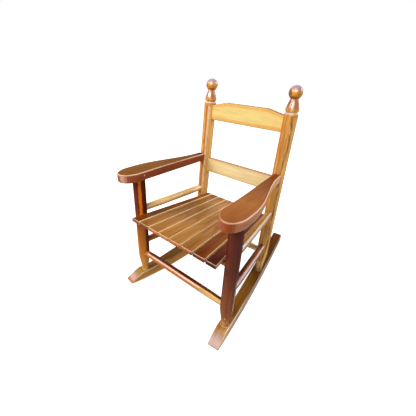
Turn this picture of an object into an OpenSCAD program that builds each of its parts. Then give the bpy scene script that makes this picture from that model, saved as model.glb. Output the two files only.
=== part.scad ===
// A child's rocking chair: turned posts and rungs, a slatted seat, shaped arms and sawn rockers.

/* [Overall] */
// Height from the floor to the tops of the finials
chair_h = 570; // [545:1:620]
// Height of the arms' top face at their front ends
arm_h = 376.5; // [340:0.5:400]

/* [Rockers] */
// Length of a rocker
rocker_len = 480; // [460:1:540]
// Thickness across a rocker
rocker_w = 31; // [27:0.5:36]
// Depth of a rocker where it touches the floor at rest
rocker_t = 32; // [28:0.5:38]
// Radius of the edge that rolls on the floor
rocker_r = 1010; // [850:10:1300]
// Radius of the rocker's upper edge
rocker_top_r = 1370; // [1100:10:1800]
// How far the resting point lies in front of the rocker's middle
rocker_rest = 30.5; // [0:0.5:60]
// Length of the sloping nose
nose_len = 42; // [20:1:50]
// Blunt edge left at the tip of the nose
nose_edge = 3; // [1:0.5:6]

/* [Posts] */
// Diameter of the four turned posts
post_d = 33; // [28:0.5:36]
// Diameter of a post's foot, where it enters the rocker
foot_d = 20; // [13:0.5:22]
// How deep a foot is set into its rocker
foot_set = 16; // [10:0.5:20]
// Straight length of a foot that shows above the rocker
foot_neck = 8; // [3:0.5:15]
// Height above the floor where a post starts to taper to its foot
foot_taper_h = 100; // [90:1:125]
// Gap between the seat's side edge and a front post
front_gap = 2.85; // [1:0.05:8]
// How far the seat's front edge stands in front of the front posts' centres
seat_nose = 41.75; // [36:0.25:48]
// Backward lean of the front posts, in degrees
front_lean = 3.2; // [1:0.1:5]
// Inward lean of the front posts, in degrees
front_splay = 0.5; // [0:0.1:1]
// Gap between the seat's side edge and a back post
back_gap = 2.15; // [1:0.05:8]
// How far the seat's back edge passes the back posts' centres
seat_tail = 7.2; // [2:0.1:14]
// Backward lean of the back posts, in degrees
back_lean = 5.25; // [3:0.25:8]
// Inward lean of the back posts, in degrees
back_splay = 0.7; // [0:0.1:1.2]

/* [Finials] */
// Diameter of the ball on top of a back post
ball_d = 32; // [24:0.5:34]
// Diameter of the neck below the ball
neck_d = 18; // [14:0.5:21]
// Height of the bell that flares from the neck to its widest ring
bell_h = 24; // [18:0.5:28]
// Diameter of the bell's widest ring
bell_d = 32; // [27:0.5:33]
// Height of the bell's rounded base below that ring
collar_h = 5; // [3:0.5:7]
// Diameter of the groove below the bell
groove_d = 26; // [21:0.5:27]
// Height of the groove's narrowest band
groove_h = 0.8; // [0.6:0.2:3]
// Height of the sloping shoulder under the groove
shoulder_h = 2.4; // [2:0.2:8]

/* [Arms] */
// Thickness of an arm
arm_t = 23; // [17:0.5:26]
// Width of an arm over the front post
arm_w = 56; // [50:0.5:60]
// Width of an arm where it meets the back post
arm_back_w = 21; // [18:0.5:24]
// Distance from a front post's centre to the outer edge of its arm
arm_out = 29.3; // [24:0.1:33]
// Distance from a front post's centre to the tip of its arm
arm_tip = 56; // [50:0.5:60]
// Slope of the arms, down towards the back, in degrees
arm_slope = 2.55; // [1.5:0.05:4]
// Length of an arm's rounded front end
arm_nose = 42; // [30:1:50]
// Length of the full-width stretch behind an arm's tip
arm_full = 60; // [50:1:80]
// Length of the narrow stretch at an arm's rear end, up to the back post's centre
arm_narrow = 35; // [20:1:50]
// Rounding of an arm's rear corners
arm_corner = 5; // [4:0.5:8]
// Rounding of an arm's edges
arm_ease = 3.5; // [1:0.5:3.5]
// How far an arm's inner edge has bowed past the back post's centre at its rear end
arm_bow = 8.5; // [6:0.5:12]
// Diameter of a front post's tenon in the arm
arm_tenon_d = 16; // [12:0.5:20]
// How deep that tenon stands in the arm
arm_tenon_h = 12; // [8:0.5:14]
// Diameter of the arm's round tenon in the back post
arm_pin_d = 10; // [9:0.5:13]

/* [Seat] */
// Height of the seat's top face at its front edge
seat_front_h = 254.8; // [240:0.2:270]
// Height of the seat's top face at its back edge
seat_back_h = 226.2; // [215:0.2:240]
// Distance of the seat's front edge in front of the rockers' middle
seat_reach = 209.5; // [200:0.5:225]
// Depth of the seat from front to back
seat_depth = 288; // [280:1:300]
// Width of the seat at its front edge
seat_front_w = 275; // [262:1:278]
// Width of the seat at its back edge
seat_back_w = 211; // [200:1:212]
// Thickness of a seat slat
slat_t = 11; // [9:0.5:13]
// Width of the outermost slats at the front edge, with half a gap
edge_slat_front_w = 28.8; // [22:0.2:36]
// Width of the outermost slats at the back edge, with half a gap
edge_slat_back_w = 17.6; // [12:0.2:26]
// Gap between neighbouring slats
slat_gap = 3.2; // [1.5:0.1:4]
// Rounding of the slats' edges
slat_ease = 1.8; // [1:0.2:3]
// Width of the battens under the slats
batten_w = 20; // [15:1:26]
// Thickness of the battens
batten_t = 10; // [8:0.5:12]
// Distance of the front batten's centre behind the front seat rung
batten_front_in = 27; // [24:0.5:40]
// Distance of the back batten's centre in front of the back seat rung
batten_back_in = 35; // [24:0.5:45]
// How far a batten's end stays inside the seat's side edge
batten_inset = 7; // [4:0.5:12]

/* [Rungs] */
// Diameter of the side rungs and the stretchers at the middle
rung_d = 20; // [18:0.5:23]
// Diameter of the rungs that carry the seat
seat_rung_d = 17; // [15:0.5:19]
// Diameter of the ends of the rungs that carry the seat
seat_rung_end_d = 14; // [11:0.5:15]
// Diameter of the other rungs' ends
rung_end_d = 18; // [14:0.5:18]
// Length over which a rung swells from its end
rung_swell = 40; // [25:1:60]
// How deep a rung is set into a post
rung_set = 13; // [9:0.5:14]
// Height of the front stretcher
stretcher_front_h = 108; // [90:1:125]
// Height of the back stretcher
stretcher_back_h = 106.5; // [90:0.5:112]
// Height of the lower side rungs at the front posts
low_rung_front_h = 147; // [140:1:175]
// Height of the lower side rungs at the back posts
low_rung_back_h = 131; // [125.5:0.5:145]
// Height of the upper side rungs at the front posts
high_rung_front_h = 257; // [252:1:290]
// Height of the upper side rungs at the back posts
high_rung_back_h = 245; // [236:1:270]

/* [Back] */
// Thickness of the crest rail and the lower back rail
rail_t = 14; // [10:0.5:16]
// Height of the crest rail at the middle
crest_h = 50; // [46:0.5:60]
// Height of the crest rail's ends
crest_end_h = 38; // [34:0.5:44]
// Half length of the crest rail's level middle part
crest_flat = 63; // [40:1:75]
// How far that part's top stands above the back posts' shoulders
crest_above = 4.5; // [2:0.5:10]
// Height of the lower back rail's under edge, measured along the posts
low_rail_z = 307; // [290:1:320]
// Width of the lower back rail
low_rail_h = 43.5; // [38:0.5:50]
// How deep the back rails are set into the posts
rail_set = 10; // [8:0.5:12]

/* [Fits] */
// Clearance all round a tenon for glue
glue = 0.1; // [0.05:0.05:0.2]
// Clearance at the end of a tenon
end_gap = 0.3; // [0.1:0.1:0.5]
// Rounding of the boards' edges
ease = 2.5; // [1:0.5:3]

/* [Hidden] */
$fn = 64;

// Number of slats
slats = 8;
// Steps along the rolling edge, a curved edge, a rounded corner and an eased edge
rocker_steps = 32;
curve_steps = 14;
corner_steps = 9;
ease_steps = 3;
// Overrun of every cut past the face that it opens
over = 20;

post_r = post_d / 2;

// The places that everything hangs on: the seat places the posts, and the posts the rest

// Half width of the seat at depth d behind its front edge
function seat_half(d) = (seat_front_w + (seat_back_w - seat_front_w) * d / seat_depth) / 2;
// A post's centre line stands one gap and its own radius outside the seat's edge
front_half = seat_half(seat_nose) + front_gap + post_r + tan(front_splay) * seat_front_h;
front_reach = seat_reach - seat_nose + tan(front_lean) * seat_front_h;
back_half = seat_half(seat_depth - seat_tail) + back_gap + post_r + tan(back_splay) * seat_back_h;
back_reach = seat_depth - seat_reach - seat_tail - tan(back_lean) * seat_back_h;

// Centre of the right front post at height z
function front_at(z) = [front_half - tan(front_splay) * z, tan(front_lean) * z - front_reach, z];
// Centre of the right back post at height z
function back_at(z) = [back_half - tan(back_splay) * z, tan(back_lean) * z + back_reach, z];
// The same point on the left side
function left(p) = [-p.x, p.y, p.z];
// Length along a post's axis for each unit of height
front_stretch = norm([tan(front_splay), tan(front_lean), 1]);
back_stretch = norm([tan(back_splay), tan(back_lean), 1]);

// The rockers turn inwards towards the back, in line with the posts' feet
toe = atan2(front_at(0).x - back_at(0).x, back_at(0).y - front_at(0).y);
rocker_x = front_at(0).x - front_reach * tan(toe);
function arc_rise(r, u) = r - sqrt(r * r - u * u);
function rocker_low(u) = arc_rise(rocker_r, u + rocker_rest);
function rocker_top(u) = rocker_t + arc_rise(rocker_top_r, u + rocker_rest);
function rocker_top_at(y) = rocker_top(y / cos(toe));

seat_slope = atan2(seat_front_h - seat_back_h, seat_depth);
seat_len = seat_depth / cos(seat_slope);
// Height of the slats' under side at depth y
function slat_under(y) = seat_front_h - (y + seat_reach) * tan(seat_slope) - slat_t / cos(seat_slope);
// Height at which a seat rung between leaning posts just touches the slats
function seat_rung_z(y, lean) =
    (slat_under(y) - (seat_rung_d / 2 + glue) / cos(seat_slope)) / (1 + tan(seat_slope) * tan(lean));
seat_rung_front_z = seat_rung_z(-front_reach, front_lean);
seat_rung_back_z = seat_rung_z(back_reach, back_lean);
// The battens lie between the two seat rungs and keep the seat from sliding
batten_front_y = front_at(seat_rung_front_z).y + batten_front_in;
batten_back_y = back_at(seat_rung_back_z).y - batten_back_in;

// The arms stand over the front posts, and their top face falls towards the back
arm_edge = front_at(arm_h).x + arm_out;
arm_reach = arm_tip - front_at(arm_h).y;
function arm_top(y) = arm_h - (y + arm_reach) * tan(arm_slope);
arm_pin_z = arm_top(back_at(arm_h).y) - arm_t / 2 / cos(arm_slope);
arm_pin_at = back_at(arm_pin_z);
arm_len = (arm_pin_at.y + arm_reach) / cos(arm_slope);
// Height at which a front post's axis meets the under side of its arm
arm_seat_z = (arm_h - (arm_reach - front_reach) * tan(arm_slope) - arm_t / cos(arm_slope))
    / (1 + tan(front_lean) * tan(arm_slope));

// Where the finial starts, measured along the back post
ball_z = (chair_h - ball_d / 2) * back_stretch;
neck_z = ball_z - sqrt(pow(ball_d / 2, 2) - pow(neck_d / 2, 2));
collar_z = neck_z - bell_h;
groove_z = collar_z - collar_h;
shoulder_z = groove_z - groove_h - shoulder_h;

// Shapes used by several pieces

// Turns and moves a child from the Z axis on to the line from p to q
module along(p, q) {
    d = q - p;
    translate(p) rotate([0, acos(d.z / norm(d)), atan2(d.y, d.x)]) children();
}

function unit(v) = v / norm(v);
function left_of(a, b) = unit([a.y - b.y, b.x - a.x]);
// An outline moved inwards by d, every side staying parallel to itself
function inset(p, d) = let (n = len(p)) [
    for (i = [0 : n - 1])
        let (a = left_of(p[(i + n - 1) % n], p[i]), b = left_of(p[i], p[(i + 1) % n]))
        p[i] + d * (a + b) / (1 + a * b)
];

// A board cut to an outline, with its long edges rounded over on both faces
module board(outline, t, r = ease) {
    n = len(outline);
    turns = [for (k = [0 : ease_steps]) 90 * k / ease_steps];
    low = [for (a = turns) [r * (1 - sin(a)), r * (1 - cos(a))]];
    high = [for (k = [0 : ease_steps]) [low[ease_steps - k].x, t - low[ease_steps - k].y]];
    layers = concat(low, high);
    last = len(layers) - 1;
    rings = [for (l = layers) for (p = inset(outline, l.x)) [p.x, p.y, l.y]];
    sides = [
        for (k = [0 : last - 1]) for (i = [0 : n - 1])
            let (j = (i + 1) % n) [k * n + i, (k + 1) * n + i, (k + 1) * n + j, k * n + j]
    ];
    caps = [[for (i = [0 : n - 1]) i], [for (i = [0 : n - 1]) last * n + n - 1 - i]];
    polyhedron(rings, concat(sides, caps));
}

// A quarter of an ellipse round c, from angle a to angle a + 90, without its last point
function quarter(c, rx, ry, a) = [
    for (k = [0 : corner_steps - 1])
        let (t = a + 90 * k / corner_steps) [c.x + rx * cos(t), c.y + ry * sin(t)]
];

// Rises from 0 to 1 along a smooth S as t goes from 0 to 1
function smooth(t) = (1 - cos(180 * t)) / 2;

// A round rung on the Z axis: straight ends that swell to a fuller middle
module rung(length, d, end_d) {
    straight = rung_set + ease;
    swell = [
        for (k = [0 : corner_steps])
            let (t = k / corner_steps)
            [end_d / 2 + (d - end_d) / 2 * smooth(t), straight + rung_swell * t]
    ];
    back = [for (k = [0 : corner_steps]) [swell[corner_steps - k].x, length - swell[corner_steps - k].y]];
    rotate_extrude() polygon(concat(
        [[0, 0], [end_d / 2 - ease / 2, 0], [end_d / 2, ease / 2]], swell, back,
        [[end_d / 2, length - ease / 2], [end_d / 2 - ease / 2, length], [0, length]]));
}

// A rung between the centre lines of two posts
module rung_between(p, q, d = rung_d, end_d = rung_end_d) {
    inner = post_r - rung_set;
    along(p, q) translate([0, 0, inner]) rung(norm(q - p) - 2 * inner, d, end_d);
}

// The socket in a post at p for a rung that leaves towards q
module rung_socket(p, q, d = rung_end_d) {
    along(p, q) translate([0, 0, post_r - rung_set - end_gap]) cylinder(d = d + 2 * glue, h = post_r + over);
}

// The lower end of a post, as points of its turned profile: foot, neck and taper
function foot_points(top, stretch) =
    let (z0 = (top - foot_set) * stretch, z1 = (top + foot_neck) * stretch, z2 = foot_taper_h * stretch)
    concat([[0, z0], [foot_d / 2 - ease / 2, z0], [foot_d / 2, z0 + ease / 2]], [
        for (k = [0 : corner_steps])
            let (t = k / corner_steps)
            [foot_d / 2 + (post_d - foot_d) / 2 * (t + smooth(t)) / 2, z1 + (z2 - z1) * t]
    ]);

// Pieces

rocker_wood = "peru";
dark_wood = "saddlebrown";
post_wood = "goldenrod";
pale_wood = "burlywood";
slat_wood = "darkgoldenrod";
rung_wood = "chocolate";

// The nose drops this share of its height evenly, and the rest ever faster towards the tip
even_share = 0.65;
// Side outline of a rocker: rolling edge, square heel, upper edge and sloping nose
function rocker_outline() =
    let (half = rocker_len / 2, nose = -half + nose_len,
         tip = rocker_low(-half) + nose_edge, rise = rocker_top(nose) - tip)
    concat(
        [for (k = [0 : rocker_steps]) let (u = -half + rocker_len * k / rocker_steps) [u, rocker_low(u)]],
        [for (k = [0 : curve_steps]) let (u = half - (half - nose) * k / curve_steps) [u, rocker_top(u)]],
        [for (k = [1 : corner_steps])
            let (a = 90 * k / corner_steps, drop = even_share * sin(a) + (1 - even_share) * (1 - cos(a)))
            [nose - nose_len * sin(a), rocker_top(nose) - rise * drop]]);

// Places a child drawn in the right rocker's side view, with its thickness along Z
module rocker_place() {
    translate([rocker_x, 0, 0]) rotate([0, 0, toe]) translate([-rocker_w / 2, 0, 0])
        rotate([90, 0, 90]) children();
}

module foot_socket(p, q, top) {
    along(p, q) translate([0, 0, (top - foot_set) * norm(q - p) / (q.z - p.z) - end_gap])
        cylinder(d = foot_d + 2 * glue, h = foot_set + over);
}

module rocker_right() {
    color(rocker_wood) difference() {
        rocker_place() board(rocker_outline(), rocker_w);
        foot_socket(front_at(0), front_at(chair_h), rocker_top_at(-front_reach));
        foot_socket(back_at(0), back_at(chair_h), rocker_top_at(back_reach));
    }
}

module rocker_left() { mirror([1, 0, 0]) rocker_right(); }

// Places a child drawn in the arms' plane, with its origin below the front tips
module arm_place() {
    translate([0, -arm_reach, arm_h]) rotate([-arm_slope, 0, 0]) translate([0, 0, -arm_t]) children();
}

// The round tenon on top of a front post, h high above the arm's under side
module arm_tenon(d, h) {
    along(front_at(0), front_at(chair_h)) translate([0, 0, (arm_seat_z - over) * front_stretch])
        cylinder(d = d, h = (over + h) * front_stretch);
}

module front_post_right() {
    top = (arm_seat_z + arm_t / 2) * front_stretch;
    color(dark_wood) union() {
        difference() {
            along(front_at(0), front_at(chair_h)) rotate_extrude() polygon(concat(
                foot_points(rocker_top_at(-front_reach), front_stretch), [[post_r, top], [0, top]]));
            arm_place() translate([0, -over, 0]) cube([arm_edge, arm_len, arm_t + over]);
            rung_socket(front_at(stretcher_front_h), left(front_at(stretcher_front_h)));
            rung_socket(front_at(seat_rung_front_z), left(front_at(seat_rung_front_z)), seat_rung_end_d);
            rung_socket(front_at(low_rung_front_h), back_at(low_rung_back_h));
            rung_socket(front_at(high_rung_front_h), back_at(high_rung_back_h));
        }
        arm_tenon(arm_tenon_d, arm_tenon_h - end_gap);
    }
}

module front_post_left() { mirror([1, 0, 0]) front_post_right(); }

// A bell narrows with this power of the height above its widest ring: 1 would be a plain cone
bell_curve = 1.25;
// The turned profile of a back post, from its foot to the top of the ball
function back_profile() = concat(
    foot_points(rocker_top_at(back_reach), back_stretch),
    [[post_r, shoulder_z], [groove_d / 2, shoulder_z + shoulder_h], [groove_d / 2, groove_z]],
    [for (k = [1 : corner_steps])
        let (a = 90 * k / corner_steps)
        [groove_d / 2 + (bell_d - groove_d) / 2 * sin(a), groove_z + collar_h * (1 - cos(a))]],
    [for (k = [1 : corner_steps])
        let (t = k / corner_steps)
        [bell_d / 2 - (bell_d - neck_d) / 2 * pow(t, bell_curve), collar_z + bell_h * t]],
    let (start = -asin((ball_z - neck_z) / (ball_d / 2)))
    [for (k = [1 : curve_steps])
        let (a = start + (90 - start) * k / curve_steps)
        [ball_d / 2 * cos(a), ball_z + ball_d / 2 * sin(a)]]);

// Places a child in the leaning plane of the back posts, with Y towards the finials
module back_place() {
    translate([0, back_reach, 0]) rotate([90 - back_lean, 0, 0]) translate([0, 0, -rail_t / 2]) children();
}

// Half length of a back rail whose middle is at height z along the posts
function rail_half(z) = back_at(z).x - post_r + rail_set;

crest_low = shoulder_z + crest_above - crest_h;
crest_half = rail_half(crest_low + crest_end_h / 2);
// Height of the crest rail above its under edge at distance x from the middle, beyond its level part
function crest_high(x) = crest_h - (crest_h - crest_end_h) * (x - crest_flat) / (crest_half - crest_flat);
// Outline of the crest rail out to half on each side, larger by grow above and below
function crest_outline(half, grow) = [
    [-half, -grow], [half, -grow], [half, crest_high(half) + grow], [crest_flat, crest_h + grow],
    [-crest_flat, crest_h + grow], [-half, crest_high(half) + grow]];
low_rail_half = rail_half(low_rail_z + low_rail_h / 2);

module back_post_right() {
    color(post_wood) difference() {
        along(back_at(0), back_at(chair_h)) rotate_extrude() polygon(back_profile());
        rung_socket(back_at(stretcher_back_h), left(back_at(stretcher_back_h)));
        rung_socket(back_at(seat_rung_back_z), left(back_at(seat_rung_back_z)), seat_rung_end_d);
        rung_socket(back_at(low_rung_back_h), front_at(low_rung_front_h));
        rung_socket(back_at(high_rung_back_h), front_at(high_rung_front_h));
        arm_pin(arm_pin_d + 2 * glue, end_gap);
        back_place() translate([0, crest_low, -glue])
            linear_extrude(rail_t + 2 * glue) polygon(crest_outline(crest_half + end_gap, glue));
        back_place() translate([0, low_rail_z - glue, -glue])
            cube([low_rail_half + end_gap, low_rail_h + 2 * glue, rail_t + 2 * glue]);
    }
}

module back_post_left() { mirror([1, 0, 0]) back_post_right(); }

// The arm's round tenon: it stops short of the post's centre, and the socket is longer by deeper
module arm_pin(d, deeper) {
    reach = rung_set + over;
    translate(arm_pin_at) rotate([90 - arm_slope, 0, 0])
        translate([0, 0, post_r - rung_set - deeper]) cylinder(d = d, h = reach + deeper);
}

// Edges of an arm at distance v behind its tip, as distances from the chair's middle
function arm_inner(v) = let (start = arm_edge - arm_w, end = arm_pin_at.x - arm_bow)
    start + (end - start) * pow(max(0, v - arm_full) / (arm_len - arm_full), 2);
function arm_width(v) =
    arm_back_w + (arm_w - arm_back_w)
        * (1 - smooth(min(1, max(0, v - arm_full) / (arm_len - arm_narrow - arm_full))));
function arm_outer(v) = arm_inner(v) + arm_width(v);

// The arm's tip stands nearer its outer edge, and its rear corners are rounded to the post
tip_share = 0.55;
function arm_outline() =
    let (tip_x = arm_edge - arm_w * (1 - tip_share), corner = arm_corner,
         start = arm_len - post_r + ease - corner)
    concat(
        [for (p = quarter([tip_x, arm_nose], arm_w * tip_share, arm_nose, 180)) p],
        [for (p = quarter([tip_x, arm_nose], arm_w * (1 - tip_share), arm_nose, 270)) p],
        [for (k = [0 : curve_steps]) let (v = arm_nose + (start - arm_nose) * k / curve_steps) [arm_outer(v), v]],
        [for (p = quarter([arm_outer(start) - corner, start], corner, corner, 0)) if (p.y > start) p],
        [for (p = quarter([arm_inner(start) + corner, start], corner, corner, 90)) p],
        [for (k = [0 : curve_steps - 1]) let (v = start + (arm_nose - start) * k / curve_steps) [arm_inner(v), v]]);

module armrest_right() {
    color(dark_wood) union() {
        difference() {
            arm_place() board(arm_outline(), arm_t, arm_ease);
            arm_tenon(arm_tenon_d + 2 * glue, arm_tenon_h);
            along(back_at(0), back_at(chair_h)) cylinder(d = post_d + 2 * glue, h = chair_h);
        }
        arm_pin(arm_pin_d, 0);
    }
}

module armrest_left() { mirror([1, 0, 0]) armrest_right(); }

// The crest rail: low ends that rise over straight slopes to a level top
module crest_rail() {
    color(pale_wood) back_place() translate([0, crest_low, 0]) board(crest_outline(crest_half, 0), rail_t);
}

module lower_back_rail() {
    color(pale_wood) back_place() translate([0, low_rail_z, 0]) board(
        [[-low_rail_half, 0], [low_rail_half, 0], [low_rail_half, low_rail_h], [-low_rail_half, low_rail_h]],
        rail_t);
}

// Places a child in the seat's plane, with its origin at the middle of the front edge
module seat_place() {
    translate([0, -seat_reach, seat_front_h]) rotate([-seat_slope, 0, 0]) children();
}

// Line i between slats at the front or back edge, where the first and last lines are the seat's sides
function slat_line(i, width, edge) =
    i == 0 ? -width / 2 : i == slats ? width / 2 : (i - slats / 2) * (width - 2 * edge) / (slats - 2);
// Half the gap belongs to each slat beside it, and none at the seat's sides
function side_gap(i) = i == 0 || i == slats ? 0 : slat_gap / 2;

module seat_slat(i) {
    x0 = slat_line(i - 1, seat_front_w, edge_slat_front_w) + side_gap(i - 1);
    x1 = slat_line(i, seat_front_w, edge_slat_front_w) - side_gap(i);
    x2 = slat_line(i, seat_back_w, edge_slat_back_w) - side_gap(i);
    x3 = slat_line(i - 1, seat_back_w, edge_slat_back_w) + side_gap(i - 1);
    color(slat_wood) seat_place() translate([0, 0, -slat_t])
        board([[x0, 0], [x1, 0], [x2, seat_len], [x3, seat_len]], slat_t, slat_ease);
}

// A batten across the under side of the slats, its middle at depth y
module seat_batten(y) {
    deep = y + seat_reach;
    a = deep / cos(seat_slope) - batten_w / 2;
    b = a + batten_w;
    wide = seat_half(deep - batten_w / 2) - batten_inset;
    narrow = seat_half(deep + batten_w / 2) - batten_inset;
    color(slat_wood) seat_place() translate([0, 0, -slat_t - batten_t])
        board([[-wide, a], [wide, a], [narrow, b], [-narrow, b]], batten_t, ease / 2);
}

module seat_batten_front() { seat_batten(batten_front_y); }
module seat_batten_back() { seat_batten(batten_back_y); }

// A rung straight across the chair between a right post at p and its left twin
module cross_rung(p, d, end_d) { color(rung_wood) rung_between(left(p), p, d, end_d); }

module seat_rung_front() { cross_rung(front_at(seat_rung_front_z), seat_rung_d, seat_rung_end_d); }
module seat_rung_back() { cross_rung(back_at(seat_rung_back_z), seat_rung_d, seat_rung_end_d); }
module front_stretcher() { cross_rung(front_at(stretcher_front_h), rung_d, rung_end_d); }
module back_stretcher() { cross_rung(back_at(stretcher_back_h), rung_d, rung_end_d); }

module side_rung_upper_right() {
    color(rung_wood) rung_between(front_at(high_rung_front_h), back_at(high_rung_back_h));
}

module side_rung_upper_left() { mirror([1, 0, 0]) side_rung_upper_right(); }

module side_rung_lower_right() {
    color(rung_wood) rung_between(front_at(low_rung_front_h), back_at(low_rung_back_h));
}

module side_rung_lower_left() { mirror([1, 0, 0]) side_rung_lower_right(); }

rocker_left();
rocker_right();
front_post_left();
front_post_right();
back_post_left();
back_post_right();
armrest_left();
armrest_right();
crest_rail();
lower_back_rail();
seat_slat(1);  // seat_slat_1
seat_slat(2);  // seat_slat_2
seat_slat(3);  // seat_slat_3
seat_slat(4);  // seat_slat_4
seat_slat(5);  // seat_slat_5
seat_slat(6);  // seat_slat_6
seat_slat(7);  // seat_slat_7
seat_slat(8);  // seat_slat_8
seat_batten_front();
seat_batten_back();
seat_rung_front();
seat_rung_back();
side_rung_upper_left();
side_rung_upper_right();
side_rung_lower_left();
side_rung_lower_right();
front_stretcher();
back_stretcher();
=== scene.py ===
import math
import bpy
import numpy as np
from mathutils import Matrix, Vector
from mathutils.bvhtree import BVHTree


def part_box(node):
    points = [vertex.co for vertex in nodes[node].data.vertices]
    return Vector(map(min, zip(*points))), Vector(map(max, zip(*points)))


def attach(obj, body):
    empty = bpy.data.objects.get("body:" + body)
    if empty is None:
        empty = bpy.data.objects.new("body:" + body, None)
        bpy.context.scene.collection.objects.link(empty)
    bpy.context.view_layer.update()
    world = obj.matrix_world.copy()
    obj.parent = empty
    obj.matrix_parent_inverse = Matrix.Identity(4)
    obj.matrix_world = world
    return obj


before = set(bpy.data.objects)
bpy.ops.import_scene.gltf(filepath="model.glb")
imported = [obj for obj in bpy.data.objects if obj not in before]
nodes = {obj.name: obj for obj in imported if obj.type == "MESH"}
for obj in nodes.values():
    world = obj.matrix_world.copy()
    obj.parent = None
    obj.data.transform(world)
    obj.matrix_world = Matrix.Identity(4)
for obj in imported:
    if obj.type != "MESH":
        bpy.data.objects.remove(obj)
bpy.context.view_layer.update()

# ---- Camera ----------------------------------------------------------------------------------
# It stands in front of the chair's right side, above it and close, at the photograph's angle.
# The lens's axis meets the picture a few pixels off its middle, which the shifts allow for.
def add_object(name, data):
    """Adds an object to the scene."""
    thing = bpy.data.objects.new(name, data)
    bpy.context.scene.collection.objects.link(thing)
    return thing


eye = Vector((0.34112, -0.51311, 0.61749))
aim = Vector((0, -0.07655, 0.27929))
roll = 0.0213
picture_side, focal_length, axis_x, axis_y = 416, 244.25, 204.36, 207.43  # all in pixels
camera_data = bpy.data.cameras.new("camera")
camera = add_object("camera", camera_data)
ahead = (aim - eye).normalized()
level = ahead.cross(Vector((0, 0, 1))).normalized()
over = level.cross(ahead)
right = math.cos(roll) * level + math.sin(roll) * over
upward = math.cos(roll) * over - math.sin(roll) * level
camera.matrix_world = Matrix(((right.x, upward.x, -ahead.x, eye.x),
                              (right.y, upward.y, -ahead.y, eye.y),
                              (right.z, upward.z, -ahead.z, eye.z), (0, 0, 0, 1)))
camera_data.sensor_fit = 'HORIZONTAL'
camera_data.sensor_width = 36
camera_data.lens = focal_length / picture_side * camera_data.sensor_width
camera_data.shift_x = (picture_side / 2 - axis_x) / picture_side
camera_data.shift_y = (axis_y - picture_side / 2) / picture_side
bpy.context.scene.camera = camera
bpy.context.scene.view_settings.view_transform = 'Standard'

# ---- Studio ----------------------------------------------------------------------------------
# A white floor and sky, and large soft lamps whose pictures show in the lacquer: one in front on
# the left, one overhead, one behind on the right and one straight in front.
class Nodes:
    """Writes one node tree: each call adds a node, sets its sockets or links them, and returns it."""
    def __init__(self, tree):
        self.tree = tree
        tree.nodes.clear()

    def __call__(self, kind, inputs=None, **settings):
        node = self.tree.nodes.new(kind)
        for name, value in settings.items():
            setattr(node, name, value)
        for key, value in (inputs or {}).items():
            if isinstance(value, bpy.types.NodeSocket):
                self.tree.links.new(value, node.inputs[key])
            else:
                node.inputs[key].default_value = value
        return node

    def math(self, operation, *values, clamp=False):
        return self("ShaderNodeMath", dict(enumerate(values)), operation=operation,
                    use_clamp=clamp).outputs[0]

    def times(self, a, b):
        return self.math("MULTIPLY", a, b)

    def noise(self, vector, scale, detail, rough=0.5):
        """Noise from 0 to 1, with its middle at 0.5."""
        return self("ShaderNodeTexNoise", {"Vector": vector, "Scale": scale, "Detail": float(detail),
                                           "Roughness": rough}).outputs["Fac"]

    def swing(self, noise, width, middle=0.0, clamp=False):
        """Noise from 0 to 1 turned into a swing of that width about a middle value."""
        return self.math("MULTIPLY_ADD", self.math("SUBTRACT", noise, 0.5), width, middle, clamp=clamp)

    def rise(self, value, low, high, start=0.0, end=1.0):
        """A straight rise from start, at low, to end, at high."""
        return self("ShaderNodeMapRange", {0: value, 1: low, 2: high, 3: start, 4: end}).outputs[0]

    def smooth(self, value, low, high):
        """A smooth step from 0, at low, to 1, at high."""
        return self("ShaderNodeMapRange", {0: value, 1: low, 2: high},
                    interpolation_type="SMOOTHSTEP").outputs[0]

    def ramp(self, factor, stops, interpolation="LINEAR"):
        """A colour or grey ramp through (position, colour) stops."""
        node = self("ShaderNodeValToRGB", {"Fac": factor})
        node.color_ramp.interpolation = interpolation
        elements = node.color_ramp.elements
        while len(elements) < len(stops):
            elements.new(0.5)
        for element, (place, colour) in zip(elements, stops):
            element.position = place
            element.color = colour if hasattr(colour, "__len__") else (colour, colour, colour, 1)
        return node.outputs[0]

    def mix(self, factor, a, b, blend="MIX"):
        """The colour a at factor 0 and b at factor 1, or a with b blended over it."""
        return self("ShaderNodeMix", {0: factor, 6: a, 7: b}, data_type="RGBA",
                    blend_type=blend).outputs[2]


def new_material(name):
    """A material with an empty node tree, and what writes that tree."""
    material = bpy.data.materials.new(name)
    material.use_nodes = True
    return material, Nodes(material.node_tree)


def seen(n, looked_at=1.0, mirrored=1.0):
    """A strength for rays that look at the surroundings, one for rays that mirror them, else 0."""
    path = n("ShaderNodeLightPath").outputs
    through = n.math("ADD", path["Is Glossy Ray"], path["Is Transmission Ray"], clamp=True)
    return n.math("MULTIPLY_ADD", path["Is Camera Ray"], looked_at, n.times(through, mirrored))


world = bpy.data.worlds.new("studio")
bpy.context.scene.world = world
world.use_nodes = True
n = Nodes(world.node_tree)
light = n("ShaderNodeBackground", {"Color": (0.95, 0.96, 1, 1), "Strength": 0.26})
white = n("ShaderNodeBackground", {"Color": (1, 1, 1, 1), "Strength": 1.0})
sky = n("ShaderNodeMixShader", {0: seen(n), 1: light.outputs[0], 2: white.outputs[0]})
n("ShaderNodeOutputWorld", {"Surface": sky.outputs[0]})

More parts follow.
